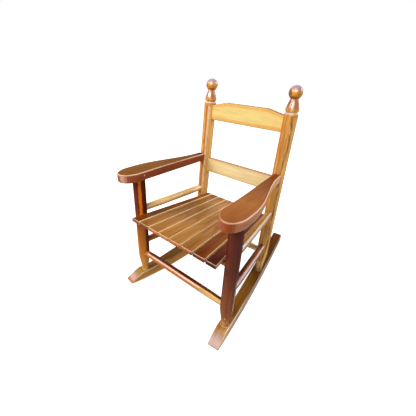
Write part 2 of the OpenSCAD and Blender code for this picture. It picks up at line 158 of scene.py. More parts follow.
floor_mesh = bpy.data.meshes.new("floor")
floor_mesh.from_pydata([(-6, -6, 0), (6, -6, 0), (6, 6, 0), (-6, 6, 0)], [], [(0, 1, 2, 3)])
floor = add_object("floor", floor_mesh)
floor_paper, n = new_material("floor_paper")
fleck = n.noise(n("ShaderNodeTexCoord").outputs["Object"], 900.0, 2)
paper = n("ShaderNodeBsdfDiffuse", {"Color": n.ramp(fleck, [(0, 0.80), (1, 0.84)])})
glow = n("ShaderNodeEmission", {"Color": (1, 1, 1, 1), "Strength": seen(n, 0.86, 0.15)})
both = n("ShaderNodeAddShader", {0: paper.outputs[0], 1: glow.outputs[0]})
n("ShaderNodeOutputMaterial", {"Surface": both.outputs[0]})
floor_mesh.materials.append(floor_paper)

seat_middle = Vector((0, -0.05, 0.25))


def softbox(name, toward, distance, width, height, watts, tint=(1, 1, 1)):
    """A rectangular lamp at a distance from the seat, facing it."""
    data = bpy.data.lights.new(name, 'AREA')
    data.shape, data.size, data.size_y = 'RECTANGLE', width, height
    data.energy, data.color = watts, tint
    lamp = add_object(name, data)
    lamp.location = seat_middle + Vector(toward).normalized() * distance
    lamp.rotation_euler = (seat_middle - lamp.location).to_track_quat('-Z', 'Y').to_euler()


softbox("front_left_lamp", (-0.52, -0.52, 0.68), 1.7, 0.8, 0.55, 19, (1, 0.985, 0.975))
softbox("overhead_lamp", (0.0, -0.12, 1.0), 1.7, 0.5, 0.5, 6, (1, 0.985, 0.985))
softbox("back_right_lamp", (0.50, 0.69, 0.53), 1.7, 0.75, 0.45, 13, (1, 0.975, 0.965))
softbox("front_lamp", (0.13, -0.73, 0.67), 1.8, 0.5, 0.6, 12, (1, 0.985, 0.98))

# ---- Rockers ---------------------------------------------------------------------------------
# Two sawn boards of stained hardwood with rounded edges, a square heel and a sloping nose. The
# grain runs along them. Their rounded edges are painted pale as highlights, the noses carry
# painted reflections, and the right one's outer side a painted sheen.
def linear(r, g, b):
    """A colour written as it looks, from 0 to 255, as linear light."""
    c = np.array([r, g, b]) / 255
    return (*np.where(c <= 0.04045, c / 12.92, ((c + 0.055) / 1.055) ** 2.4), 1.0)


class Grain:
    """Measures a piece of wood along its grain, and makes noise that is stretched along it.

    A point's distance along, across and through the piece is its offset from the origin, dotted
    with the grain, the side and the face directions.
    """
    def __init__(self, n, origin, grain, face, seed):
        self.n, self.seed = n, seed
        self.grain = Vector(grain).normalized()
        side = Vector(face).cross(self.grain).normalized()
        self.face = self.grain.cross(side).normalized()
        coords = n("ShaderNodeTexCoord").outputs
        self.normal = coords["Normal"]
        self.place = n("ShaderNodeVectorMath", {0: coords["Object"], 1: tuple(origin)},
                       operation="SUBTRACT").outputs[0]
        self.along, self.across, self.through = (
            self.dot(self.place, way) for way in (self.grain, side, self.face))
        self.fibre = self.stretched(0.05, 0.0012, 3)
        self.band = self.stretched(0.16, 0.011, 3, 3.1)
        self.cloud = self.stretched(0.09, 0.05, 2, 7.7)
        self.swell = n.noise(self.place, 70.0, 2)

    def dot(self, vector, direction):
        """The length of a vector along a direction."""
        return self.n("ShaderNodeVectorMath", {0: vector, 1: tuple(direction)},
                      operation="DOT_PRODUCT").outputs["Value"]

    def faces(self, direction):
        """How squarely the surface faces a direction: the cosine of the angle between them."""
        return self.dot(self.normal, Vector(direction).normalized())

    def stretched(self, length, width, detail, shift=0.0, rough=0.55):
        """Noise whose grains are length long along the wood and width wide across it."""
        n = self.n
        vector = n("ShaderNodeCombineXYZ", {
            0: n.math("MULTIPLY_ADD", self.along, 1 / length, self.seed + shift),
            1: n.math("MULTIPLY_ADD", self.across, 1 / width, 1.7 * self.seed),
            2: n.math("MULTIPLY_ADD", self.through, 1 / width, 0.6 * self.seed)}).outputs[0]
        return n.noise(vector, 1.0, detail, rough)


def growth_rings(n, wood, width):
    """Light between late-wood lines: a saw tooth over the distance from the tree's heart.

    The heart runs below the piece at a slight angle to it and bends sideways with the noise.
    """
    heart_depth, heart_slope = 0.03, 0.05
    aside = n.math("ADD", wood.across, n.swing(wood.cloud, 0.028))
    above = n.math("ADD", n.math("ADD", wood.through, heart_depth), n.times(wood.along, heart_slope))
    reach = n.math("SQRT", n.math("ADD", n.math("POWER", aside, 2.0), n.math("POWER", above, 2.0)))
    ring = n.math("FRACT", n.math("DIVIDE", n.math("ADD", reach, n.times(wood.fibre, 0.0012)), width))
    return n.ramp(ring, [(0.0, 0.25), (0.35, 0.5), (0.8, 0.75), (0.93, 0.0), (1.0, 0.25)])


def margin_mask(n, wood, low, high, flat, fall):
    """1 along a board's upper and lower edges: from low to high in distance from its middle line.

    Beyond the flat the upper edge falls away, by fall times the distance, and the band with it.
    """
    beyond = n.math("MAXIMUM", n.math("SUBTRACT", n.math("ABSOLUTE", wood.along), flat), 0.0)
    upper = n.math("ADD", wood.across, n.times(beyond, fall))
    edge = n.math("MAXIMUM", upper, n.times(wood.across, -1.0))
    return n.smooth(n.math("ADD", edge, n.swing(wood.band, 0.012)), low, high)


def streak_mask(n, wood, share, end):
    """Wavy streaks over about that share of the wood, as far along it as the end."""
    low = 0.62 - 0.3 * share
    wavy = n.ramp(wood.stretched(0.11, 0.006, 4, 11.3, 0.6), [(low, 0.0), (low + 0.06, 0.85)])
    return n.times(n.math("LESS_THAN", wood.along, end), wavy)


def stain_mask(n, wood, waver, direction, low, high, strength, start=None, end=None):
    """The strength where the surface faces a direction, as a cosine from low to high, else 0.

    With a start and an end it lies only between those distances along the piece.
    """
    faced = n.math("ADD", wood.faces(direction), n.swing(wood.swell, waver))
    uneven = n.times(n.swing(wood.band, 0.9, 1.0), strength)
    if start is not None:
        ragged = n.math("ADD", wood.along, n.swing(wood.band, 0.03))
        for limit, inward in ((start, 0.012), (end, -0.012)):
            uneven = n.times(uneven, n.smooth(ragged, limit, limit + inward))
    return n.math("MULTIPLY", n.smooth(faced, low, high), uneven, clamp=True)


def end_rim_mask(n, wood, half):
    """Stain soaked into a sawn end: its two corners, half a width from the middle, and its foot."""
    corner = n.rise(n.math("ABSOLUTE", wood.across), half - 0.0035, half - 0.0012)
    under = n.rise(wood.through, -0.0065, -0.0095)
    ended = n.math("LESS_THAN", wood.dot(wood.normal, wood.grain), -0.45)
    return n.times(n.math("MAXIMUM", corner, under), n.times(ended, 0.85))


def figure_masks(n, wood, direction, width, end):
    """A broken line that wanders down the side that faces a direction, and a fainter one by it."""
    beside = Vector(direction).normalized().cross(wood.grain)
    wander = n.swing(wood.stretched(0.085, 9.0, 0, 2.2), 0.9,
                     n.swing(wood.stretched(0.014, 9.0, 2, 4.4), 0.32))
    offset = n.math("ADD", wood.dot(wood.normal, beside), wander)
    facing = n.math("GREATER_THAN", wood.dot(wood.normal, direction), 0.3)
    reach = n.times(facing, n.math("LESS_THAN", wood.along, end))
    broken = n.ramp(wood.stretched(0.03, 0.004, 2, 8.8), [(0.36, 0.15), (0.56, 1.0)])
    for shift, share in ((0.0, 1.0), (0.16, 0.6)):
        away = n.math("ABSOLUTE", n.math("ADD", offset, shift))
        line = n.ramp(n.math("DIVIDE", away, width), [(0.35, 1.0), (1.0, 0.0)])
        yield n.times(n.times(n.times(line, broken), reach), 0.9 * share)


def arris_mask(n, wood, strength=0.6, patchiness=1.6, below=False, nose=0.55, toward=None):
    """The strength on rounded edges, whose normals lie between the face's direction and a side's.

    Patchiness is how unevenly it shows, below adds the lower edges, and nose is its share round the
    ends.
    Away from toward, a (direction, low, high), it is 0.3 as strong, as a highlight fades on edges turned
    from the light.
    """
    # A pale colour on these edges, on the rockers, arms and slats, is a painted highlight; the darker
    # one on the rails and battens is lacquer gathered there.
    tilt = wood.dot(wood.normal, wood.face)
    if below:
        tilt = n.math("ABSOLUTE", tilt)
    rounded = n.ramp(tilt, [(0.18, 0.0), (0.42, 1.0), (0.84, 1.0), (0.97, 0.0)])
    patchy = n.swing(wood.cloud, patchiness, 0.9, clamp=True)
    endwise = n.math("ABSOLUTE", wood.dot(wood.normal, wood.grain))
    long_edge = n.ramp(endwise, [(0.2, 1.0), (0.45, nose), (1.0, nose)])
    mask = n.times(n.times(rounded, patchy), n.times(long_edge, strength))
    if toward:
        direction, low, high = toward
        mask = n.times(mask, n.rise(wood.faces(direction), low, high, 0.3, 1.0))
    return mask


def stained_wood(name, origin, grain, face, tones, seed, bands=1.0, fibre=1.0, wander=0.5,
                 rings=None, margins=None, streaks=None, stains=(), waver=0.08, end_rim=None,
                 figure=None, arris=None, flecks=0.0, matt=0.38, gloss=0.15, coat_ior=1.5,
                 coat_rough=0.1, ripple=1.0, polish=None):
    """Lacquered wood whose grain runs along a piece, built up in layers of colour.

    The tones are (distance along, colour) stops that slow noise makes wander, and the seed moves
    all noise. Fibre and bands are strengths of long thin noise, and rings a (strength, width) of
    growth lines. Margins are a
    colour, a strength and what margin_mask takes, streaks a (colour, share, end), each stain a
    (direction, low, high, colour, strength) with perhaps a start and an end, an end rim a
    (half width, colour), the figure a (direction, colour, width, end), the arris a colour and what
    arris_mask takes, and flecks the strength of small pale specks. Polish is (distance, gloss) from
    there on. The lacquer adds a little white to every colour, which is taken off them first. Many
    stains, and pale arrises, are painted highlights, reflections or shade by the way a surface faces.
    """
    def under_lacquer(rgb):
        """The colour as linear light, less the white that the lacquer adds."""
        return (*np.maximum(np.array(linear(*rgb)[:3]) - 0.07 * gloss, 0.004), 1.0)

    def scaled(colour, by):
        """The colour times another one."""
        return n.mix(1.0, colour, by, "MULTIPLY")

    material, n = new_material(name)
    wood = Grain(n, origin, grain, face, seed)

    first, last = tones[0][0], tones[-1][0]
    wandering = n.math("ADD", wood.along, n.swing(wood.cloud, wander * (last - first) * 0.5))
    share = n.rise(wandering, first, last)
    stops = [((along - first) / (last - first), under_lacquer(rgb)) for along, rgb in tones]
    colour = n.ramp(share, stops, "B_SPLINE" if len(stops) < 4 else "LINEAR")

    shade = n.math("ADD", n.swing(wood.fibre, 0.9 * fibre), n.swing(wood.band, 1.9 * bands))
    if rings:
        strength, width = rings
        shade = n.math("ADD", shade, n.swing(growth_rings(n, wood, width), strength))
    shade = n.math("ADD", shade, 0.5, clamp=True)
    darker, lighter = scaled(colour, (0.55, 0.45, 0.36, 1)), scaled(colour, (1.16, 1.14, 1.08, 1))
    colour = n.mix(shade, darker, lighter)

    if margins:
        rgb, strength, *shape = margins
        colour = n.mix(n.times(margin_mask(n, wood, *shape), strength), colour, under_lacquer(rgb))
    if streaks:
        rgb, *extent = streaks
        colour = n.mix(streak_mask(n, wood, *extent), colour, under_lacquer(rgb))
    # Stains by facing direction: many are painted highlights, painted reflections and painted shade; the
    # rest are stain colour.
    for direction, low, high, rgb, strength, *reach in stains:
        tint = under_lacquer(rgb)
        grained = scaled(tint, n.mix(shade, (0.6, 0.5, 0.42, 1), (1.25, 1.22, 1.2, 1)))
        mask = stain_mask(n, wood, waver, direction, low, high, strength, *reach)
        colour = n.mix(mask, colour, n.mix(0.35, tint, grained))
    if end_rim:
        half, rgb = end_rim
        colour = n.mix(end_rim_mask(n, wood, half), colour, under_lacquer(rgb))
    if figure:
        direction, rgb, *extent = figure
        for mask in figure_masks(n, wood, direction, *extent):
            colour = n.mix(mask, colour, under_lacquer(rgb))
    pores = n.ramp(wood.stretched(0.012, 0.0005, 1, 5.9), [(0.64, 0.0), (0.74, 1.0)])
    colour = n.mix(n.times(pores, 0.35), colour, scaled(colour, (0.35, 0.28, 0.22, 1)))
    if arris:
        rgb, settings = arris
        colour = n.mix(arris_mask(n, wood, **settings), colour, under_lacquer(rgb))
    if flecks:
        cells = n("ShaderNodeTexVoronoi", {"Vector": wood.place, "Scale": 62.0}).outputs
        speck = n.times(n.math("LESS_THAN", cells["Distance"], 0.055),
                        n.math("GREATER_THAN", cells["Color"], 0.6))
        colour = n.mix(n.times(speck, flecks), colour, under_lacquer((246, 224, 196)))

    height = n.math("SUBTRACT", n.times(wood.fibre, 0.35), n.times(pores, 0.6))
    surface = n("ShaderNodeBump", {"Height": height, "Strength": 0.35, "Distance": 0.00012}).outputs[0]
    film = n("ShaderNodeBump", {"Height": n.math("ADD", wood.swell, n.times(height, 0.15)),
                                "Strength": 0.5 * ripple, "Distance": 0.0002}).outputs[0]
    rough = n.math("ADD", n.swing(wood.band, 0.25), n.math("MULTIPLY_ADD", pores, 0.15, matt),
                   clamp=True)
    coat = gloss
    if polish:
        start, polished = polish
        coat = n.rise(wood.along, start, start + 0.001, gloss, polished)
    varnish = n("ShaderNodeBsdfPrincipled", {
        "Base Color": colour, "Roughness": rough, "Normal": surface, "Specular IOR Level": 0.0,
        "Coat Weight": coat, "Coat Roughness": coat_rough, "Coat IOR": coat_ior, "Coat Normal": film})
    n("ShaderNodeOutputMaterial", {"Surface": varnish.outputs[0]})
    return material


def dress(node, material):
    """Puts a material on a CAD piece through its object's own slots."""
    piece = nodes[node]
    if not piece.data.materials:
        piece.data.materials.append(None)
    for slot in piece.material_slots:
        slot.link = 'OBJECT'
        slot.material = material


toe = math.radians(6.556)
nose_slope, nose_tip = (0, -1, 1.5), (0, -1, 1.2)
rockers = {
    "rocker_left": (-1, [
        (-0.24, (160, 104, 52)), (-0.19, (178, 140, 66)), (-0.15, (150, 112, 50)),
        (-0.12, (112, 78, 34)), (0.05, (118, 82, 34)), (0.24, (126, 80, 36))], [
        ((1, 0, 0), 0.4, 0.9, (204, 152, 82), 0.95),  # inner side
        ((-1, 0, 0), 0.4, 0.9, (132, 84, 46), 0.8),  # outer side
        # pale lavender on the nose slope: a painted reflection
        (nose_slope, 0.955, 0.975, (204, 162, 160), 0.95),
        (nose_tip, 0.85, 0.95, (188, 122, 70), 0.9, -0.27, -0.226)]),
    "rocker_right": (1, [
        (-0.24, (186, 138, 84)), (-0.17, (178, 130, 74)), (-0.12, (152, 106, 48)),
        (0.08, (150, 102, 38)), (0.16, (132, 80, 32)), (0.24, (112, 62, 32))], [
        ((1, 0, 0), 0.4, 0.9, (198, 170, 156), 0.9),  # outer side, pinkish grey: a painted sheen
        ((-1, 0, 0), 0.4, 0.9, (160, 106, 52), 0.7),  # inner side
        # pale lavender on the nose slope and on the nose tip: painted reflections
        (nose_slope, 0.955, 0.975, (188, 162, 168), 0.9),
        (nose_tip, 0.85, 0.95, (212, 184, 172), 0.85, -0.27, -0.222),
        # pale line along the outer upper edge: a painted highlight
        ((0.6, 0, 0.8), 0.80, 0.93, (255, 216, 190), 0.9, -0.2, 0.19)])}
for name, (way, tones, stains) in rockers.items():
    low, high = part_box(name)
    middle = ((low[0] + high[0]) / 2, 0, 0.03)
    run = (-math.sin(toe) * way, math.cos(toe), 0)
    # The pale arris colour, on the upper and lower edges, is a painted highlight.
    dress(name, stained_wood(
        name + "_wood", middle, run, (0, 0, 1), tones, 3.0 + way, rings=(0.2, 0.009), stains=stains,
        waver=0.02, gloss=0.2,
        arris=((255, 234, 190), dict(strength=1.0, patchiness=0.6, below=True, nose=0.0))))

# ---- Front posts -----------------------------------------------------------------------------
# Two turned posts of dark reddish stained hardwood. The stain is dark where they carry the arms
# and runs out to the bare golden wood at the tapered feet.
def post_line(x, y, splay, lean, way):
    """Foot point and direction of a post's centre line; the splay and lean are in degrees."""
    return (x * way, y, 0), (-math.tan(math.radians(splay)) * way, math.tan(math.radians(lean)), 1)


def front_line(way):
    """The centre line of the left front post, way -1, or of the right one, way 1."""
    return post_line(0.154435, -0.181996, 0.5, 3.2, way)


front = (0, -1, 0)
dress("front_post_right", stained_wood(
    "front_post_right_wood", *front_line(1), front,
    [(0.03, (232, 184, 122)), (0.055, (216, 162, 104)), (0.08, (160, 98, 54)), (0.12, (140, 84, 50)),
     (0.19, (118, 66, 46)), (0.235, (108, 58, 46)), (0.36, (98, 48, 42))], 1.3,
    bands=0.6, fibre=0.7, wander=0.25, gloss=0.2,
    stains=[((0.88, 0.48, 0), 0.35, 0.95, (84, 42, 38), 0.6),  # painted shade on the outer back
            ((0.995, 0.1, 0), 0.96, 0.995, (206, 176, 176), 0.6, 0.04, 0.2),  # painted highlight, a pale line down the outer side
            ((-0.87, -0.48, 0), 0.5, 0.95, (96, 50, 36), 0.5),  # painted shade on the inner front
            ((0.72, -0.69, 0), 0.97, 0.995, (156, 84, 40), 0.5, 0.06, 0.18)]))  # browner line, below
dress("front_post_left", stained_wood(
    "front_post_left_wood", *front_line(-1), front,
    [(0.03, (226, 176, 100)), (0.06, (216, 152, 74)), (0.11, (204, 132, 58)), (0.19, (188, 110, 44)),
     (0.235, (150, 74, 38)), (0.27, (120, 54, 36)), (0.36, (112, 48, 34))], 2.9,
    bands=0.8, fibre=0.7, wander=0.25,
    stains=[((0.60, 0.80, 0), 0.30, 0.62, (98, 50, 30), 0.92, 0.115, 0.4),  # painted shade on the inner back
            ((-0.57, -0.82, 0), 0.5, 0.9, (110, 50, 30), 0.6, 0.22, 0.4),  # painted shade on the outer front, above
            ((-0.9, -0.42, 0), 0.75, 0.95, (170, 98, 42), 0.6, 0.0, 0.22),  # painted shade on the outer side, below
            ((0.80, -0.60, 0), 0.955, 0.99, (246, 140, 48), 0.85, 0.235, 0.37)]))  # gold line, above

# ---- Back posts and finials ------------------------------------------------------------------
# Two tall turned posts of golden wood with ball finials on flared bells, over a cut groove. The
# right one shows wavy brown figure down its outer side. Pale lines and patches on the posts,
# bells and balls are painted highlights and reflections, and their darker sides painted shade.
def back_line(way):
    """The centre line of the left back post, way -1, or of the right one, way 1."""
    return post_line(0.127714, 0.0505151, 0.7, 5.25, way)


shaft = (0.0, 0.508)
bell = (0.519, 0.546)
bell_and_ball = (0.517, 0.6)
ball = (0.55, 0.6)
# Along the posts: the cream-pink chamfer below the groove is a painted reflection, and the dark stops in
# the groove are painted shade.
back_tones = [
    (0.03, (234, 186, 112)), (0.10, (228, 174, 94)), (0.30, (228, 172, 92)), (0.46, (232, 176, 98)),
    (0.508, (224, 164, 84)), (0.5106, (248, 224, 208)), (0.5132, (244, 212, 186)),
    (0.5136, (66, 34, 20)), (0.5141, (66, 34, 20)), (0.5146, (244, 182, 76)), (0.519, (230, 166, 76)),
    (0.523, (200, 132, 80)), (0.543, (194, 122, 68)), (0.546, (150, 82, 30)), (0.550, (228, 158, 58)),
    (0.575, (252, 190, 88))]
# A lavender patch on the top of each ball: a painted reflection.
painted_ball_reflection = ((0.12, 0, 1), 0.42, 0.56, (158, 136, 158), 0.85, 0.54, 0.6)
back_posts = {
    "back_post_left": (-1, 0.3, None, [
        ((0.94, -0.34, 0), 0.72, 0.93, (254, 204, 124), 0.75, *shaft),  # painted light on the inner side
        ((0.44, -0.90, 0), 0.972, 0.996, (255, 220, 180), 0.7, *shaft),  # painted highlight, a pale line down the front
        ((0.86, 0.50, 0), 0.84, 0.97, (176, 112, 54), 0.7),  # painted shade on the inner back
        ((-0.70, -0.71, 0), 0.78, 0.95, (200, 134, 66), 0.75),  # painted shade on the outer front
        ((-0.93, -0.36, 0), 0.90, 0.98, (140, 84, 40), 0.7),  # painted shade on the outer side
        ((0.08, -1, 0), 0.962, 0.99, (176, 114, 52), 0.8, *shaft),  # thin brown line
        ((-0.6, -0.8, 0), 0.86, 0.96, (140, 88, 44), 0.85, *bell_and_ball),  # painted shade on the outer side of the bell and ball
        ((0.27, -0.93, 0.25), 0.94, 0.985, (255, 240, 230), 0.85, *bell),  # painted highlight, a white patch on the bell
        # painted highlight, a white tongue on the ball
        ((0.50, -0.80, 0.42), 0.97, 0.99, (255, 250, 246), 0.8, *ball)]),
    "back_post_right": (1, 0.42, ((0.64, -0.77, 0), (100, 50, 24), 0.13, 0.505), [
        ((0.86, -0.51, 0), 0.84, 0.97, (252, 196, 118), 0.8, *shaft),  # painted highlight, pale down the outer front
        ((0.80, 0.60, 0), 0.7, 0.95, (206, 136, 70), 0.5),  # painted shade on the outer back
        ((-0.88, -0.46, 0), 0.72, 0.95, (190, 128, 58), 0.7),  # painted shade on the inner front
        ((0.5, -0.87, 0), 0.4, 0.8, (255, 214, 142), 0.95, 0.0, 0.08),  # painted light on the front of the foot
        ((-0.62, -0.78, 0), 0.80, 0.93, (122, 72, 34), 0.9, *bell_and_ball),  # painted shade on the inner side of the bell and ball
        ((0.26, -0.93, 0.28), 0.94, 0.985, (252, 236, 230), 0.85, *bell),  # painted highlight, a white patch on the bell
        # painted highlight, a white tongue on the ball
        ((0.32, -0.90, 0.40), 0.965, 0.99, (255, 250, 246), 0.85, *ball)])}
for name, (way, streaked, figure, stains) in back_posts.items():
    dress(name, stained_wood(
        name + "_wood", *back_line(way), front, back_tones, 5.2 + way, bands=0.8, fibre=0.9, wander=0.0,
        streaks=((186, 116, 56), streaked, 0.505), figure=figure, stains=stains + [painted_ball_reflection],
        gloss=0.12, coat_ior=1.6, ripple=0.12, coat_rough=0.07, polish=(0.5142, 0.55)))

# ---- Arms ------------------------------------------------------------------------------------
# Two shaped boards, broad and round at the front and narrow at the back, where they are tenoned
# into the back posts. They are stained brown, and their rounded edges are painted pale, as highlights.
arm_slope = math.radians(2.55)
arm_run = (0, math.cos(arm_slope), -math.sin(arm_slope))
arm_face = (0, math.sin(arm_slope), math.cos(arm_slope))
dress("armrest_right", stained_wood(
    "armrest_right_wood", (0.150, -0.07, 0.37), arm_run, arm_face,
    [(-0.16, (146, 84, 42)), (-0.06, (166, 110, 68)), (0.05, (136, 80, 40)), (0.11, (128, 72, 38)),
     (0.15, (150, 94, 72))], 8.4,
    rings=(0.2, 0.0085), bands=0.4, flecks=0.5, gloss=0.25, coat_rough=0.2,
    # the pale arris is a painted highlight, strongest on the edges that face front right
    arris=((255, 222, 180), dict(strength=0.95, patchiness=0.5, toward=((0.85, -0.5, 0), -0.1, 0.5))),
    stains=[((0, -1, 0), 0.4, 0.9, (158, 84, 60), 0.85),  # front of the nose
            ((1, 0, 0), 0.55, 0.92, (204, 138, 102), 0.85),  # outer side
            ((0.50, -0.87, 0), 0.84, 0.98, (156, 78, 36), 0.75),  # nose towards the outer side
            ((-0.80, -0.60, 0), 0.88, 0.98, (182, 122, 112), 0.75),  # nose towards the inner side
            ((1, 0, 0), 0.4, 0.9, (224, 170, 134), 0.8, 0.03, 0.2),  # paler outer side at the back
            ((-1, 0, 0), 0.4, 0.9, (150, 76, 48), 0.85),  # inner side
            ((0, 0, -1), 0.3, 0.8, (214, 150, 106), 0.7)]))  # underside
dress("armrest_left", stained_wood(
    "armrest_left_wood", (-0.150, -0.07, 0.37), arm_run, arm_face,
    [(-0.16, (124, 80, 36)), (-0.04, (138, 92, 46)), (0.08, (120, 76, 38)), (0.15, (100, 56, 34))], 12.6,
    rings=(0.2, 0.0085), bands=0.6, gloss=0.1, coat_rough=0.22,
    # the pale arris is a painted highlight, strongest on the edges that face front right
    arris=((255, 216, 180), dict(strength=0.95, patchiness=0.5, toward=((0.75, -0.66, 0), -0.2, 0.4))),
    stains=[((0, -1, 0), 0.25, 0.7, (182, 128, 98), 0.9),  # front of the nose
            ((0.55, -0.83, 0), 0.94, 0.99, (214, 166, 140), 0.8),  # painted highlight, a pale patch on the nose
            ((-0.08, -1, 0), 0.93, 0.985, (138, 96, 82), 0.9),  # dark patch beside it
            ((-0.80, -0.60, 0), 0.74, 0.93, (122, 78, 62), 0.95),  # nose towards the outer side
            ((1, 0, 0), 0.5, 0.9, (158, 84, 56), 0.9),  # inner side
            ((-1, 0, 0), 0.4, 0.9, (112, 66, 46), 0.85)]))  # outer side

# ---- Back rails ------------------------------------------------------------------------------
# The crest rail and the lower rail are flat boards of pale natural wood, tenoned into the back
# posts. Their edges are darker where the lacquer gathered.
back_lean = math.radians(5.25)
rail_front = (0, -math.cos(back_lean), math.sin(back_lean))
rail_top, underside = (0, 0.09, 1), (0, 0, -1)
dress("crest_rail", stained_wood(
    "crest_rail_wood", (0, 0.092, 0.489), (1, 0, 0), rail_front,
    [(-0.12, (242, 212, 136)), (-0.06, (246, 226, 152)), (0.04, (248, 228, 152)),
     (0.12, (242, 212, 134))], 15.1, margins=((222, 170, 92), 0.95, 0.012, 0.020, 0.063, 0.21),
    rings=(0.16, 0.011), bands=0.45, fibre=0.6, arris=((190, 140, 76), {}),
    stains=[(rail_top, 0.4, 0.85, (112, 86, 48), 0.9), (underside, 0.5, 0.95, (206, 138, 76), 0.8)]))
dress("lower_back_rail", stained_wood(
    "lower_back_rail_wood", (0, 0.076, 0.328), (1, 0, 0), rail_front,
    [(-0.12, (244, 210, 146)), (-0.05, (252, 234, 178)), (0.05, (252, 236, 184)),
     (0.12, (246, 216, 158))], 19.7, margins=((222, 176, 122), 0.6, 0.013, 0.020, 0.2, 0.0),
    rings=(0.14, 0.012), bands=0.3, fibre=0.5, arris=((190, 142, 98), {}),
    stains=[(rail_top, 0.4, 0.85, (158, 122, 80), 0.9), (underside, 0.5, 0.95, (200, 138, 84), 0.8)]))

# ---- Seat slats and battens ------------------------------------------------------------------
# Eight tapering slats of olive-brown stained wood, nailed to two battens under them. The stain is
# redder towards the right front. The rounded edges and the side walls in the gaps are painted
# pale, as highlight and light, so that every gap shows as a pale line.
slats, slat_width = 8, 0.028
seat_front, seat_depth = -0.2095, 0.288
seat_height, seat_drop = 0.2548, 0.0286
seat_slope = math.atan2(seat_drop, seat_depth)
seat_face = (0, math.sin(seat_slope), math.cos(seat_slope))


def slat_line(i, width, outermost):
    """Line i between the slats at one end of the seat; the first and last are its sides.

    The outermost slats have a width of their own, and the others share what is left.
    """
    inner = (i - slats / 2) * (width - 2 * outermost) / (slats - 2)
    return np.where(i == 0, -width / 2, np.where(i == slats, width / 2, inner))


front_lines = slat_line(np.arange(slats + 1), 0.275, 0.0288)
back_lines = slat_line(np.arange(slats + 1), 0.211, 0.0176)
front_middles = (front_lines[1:] + front_lines[:-1]) / 2
back_middles = (back_lines[1:] + back_lines[:-1]) / 2
slat_colours = [  # near the front, far back, and on the sawn front end
    ((122, 72, 40), (144, 92, 52), (142, 92, 80)), ((156, 108, 56), (164, 116, 66), (132, 76, 56)),
    ((162, 114, 60), (184, 138, 88), (196, 116, 80)), ((168, 120, 64), (190, 142, 96), (204, 128, 92)),
    ((170, 122, 64), (188, 142, 98), (188, 106, 62)), ((156, 106, 54), (180, 132, 88), (180, 100, 58)),
    ((112, 60, 32), (146, 96, 50), (116, 56, 38)), ((76, 38, 26), (126, 76, 42), (78, 34, 30))]
for i, (near, far, end) in enumerate(slat_colours):
    run = (back_middles[i] - front_middles[i], seat_depth, -seat_drop)
    between = tuple((np.array(near) * 0.6 + np.array(far) * 0.4).tolist())
    reddish, outer = i >= 6, i in (0, slats - 1)
    dress("seat_slat_%d" % (i + 1), stained_wood(
        "seat_slat_%d_wood" % (i + 1), (front_middles[i], seat_front, seat_height), run, seat_face,
        [(0.0, near), (0.08, between), (0.29, far)], 23.0 + 1.7 * i,
        # the pale arris is a painted highlight along every gap
        rings=(0.45, 0.0075), arris=((255, 226, 176), dict(strength=1.0, patchiness=0.5)),
        gloss=0.25, coat_rough=0.18, flecks=0.7 if i > 2 else 0.3,
        end_rim=(0.0136 if outer else 0.0165, (52, 22, 20) if reddish else (92, 44, 36)),
        # painted light on each slat's right side wall, which lies in shade in its gap
        stains=[((1, 0, 0), 0.25, 0.7, (232, 178, 128) if reddish else (255, 232, 172), 0.95),
                (front, 0.45, 0.9, end, 0.9),
                (underside, 0.3, 0.9, (120, 70, 44), 0.75)]))
for name, depth in (("seat_batten_front", -0.142), ("seat_batten_back", 0.0345)):
    dress(name, stained_wood(name + "_wood", (0, depth, 0.23), (1, 0, 0), seat_face,
                             [(-0.13, (150, 104, 58)), (0.13, (158, 108, 60))], 41.0 + depth,
                             arris=((190, 140, 90), dict(strength=0.4)), matt=0.45))

# ---- Rungs and stretchers --------------------------------------------------------------------
# Turned dowels with rounded ends, glued into the posts: two under the seat, two on each side, and
# one low between the front posts and one between the back posts. The pale lines along them are
# painted highlights, and some dark bands are painted shade and a painted dark reflection.
def at_height(line, z):
    """The point of a centre line at a height: its foot and that height times its direction."""
    foot, rise = line
    return Vector([f + r * z for f, r in zip(foot, rise)])


def rung_wood(node, start, end, tones, seed, coat_ior=1.65, gloss=0.5, **more):
    """Wood with its grain along a rung between two points; a tone's place is a share of the way."""
    half = (end - start).length / 2
    dress(node, stained_wood(
        node + "_wood", (start + end) / 2, end - start, (0, 0, 1),
        [((2 * share - 1) * half, rgb) for share, rgb in tones], seed,
        gloss=gloss, coat_ior=coat_ior, ripple=0.3, coat_rough=0.08, **more))


def cross_rung(node, line, z, *settings, **more):
    """A rung from the left post to the right one at a height."""
    rung_wood(node, at_height(line(-1), z), at_height(line(1), z), *settings, **more)


def side_rung(node, way, front_z, back_z, *settings, **more):
    """A rung from a front post to the back post on the same side."""
    rung_wood(node, at_height(front_line(way), front_z), at_height(back_line(way), back_z),
              *settings, **more)


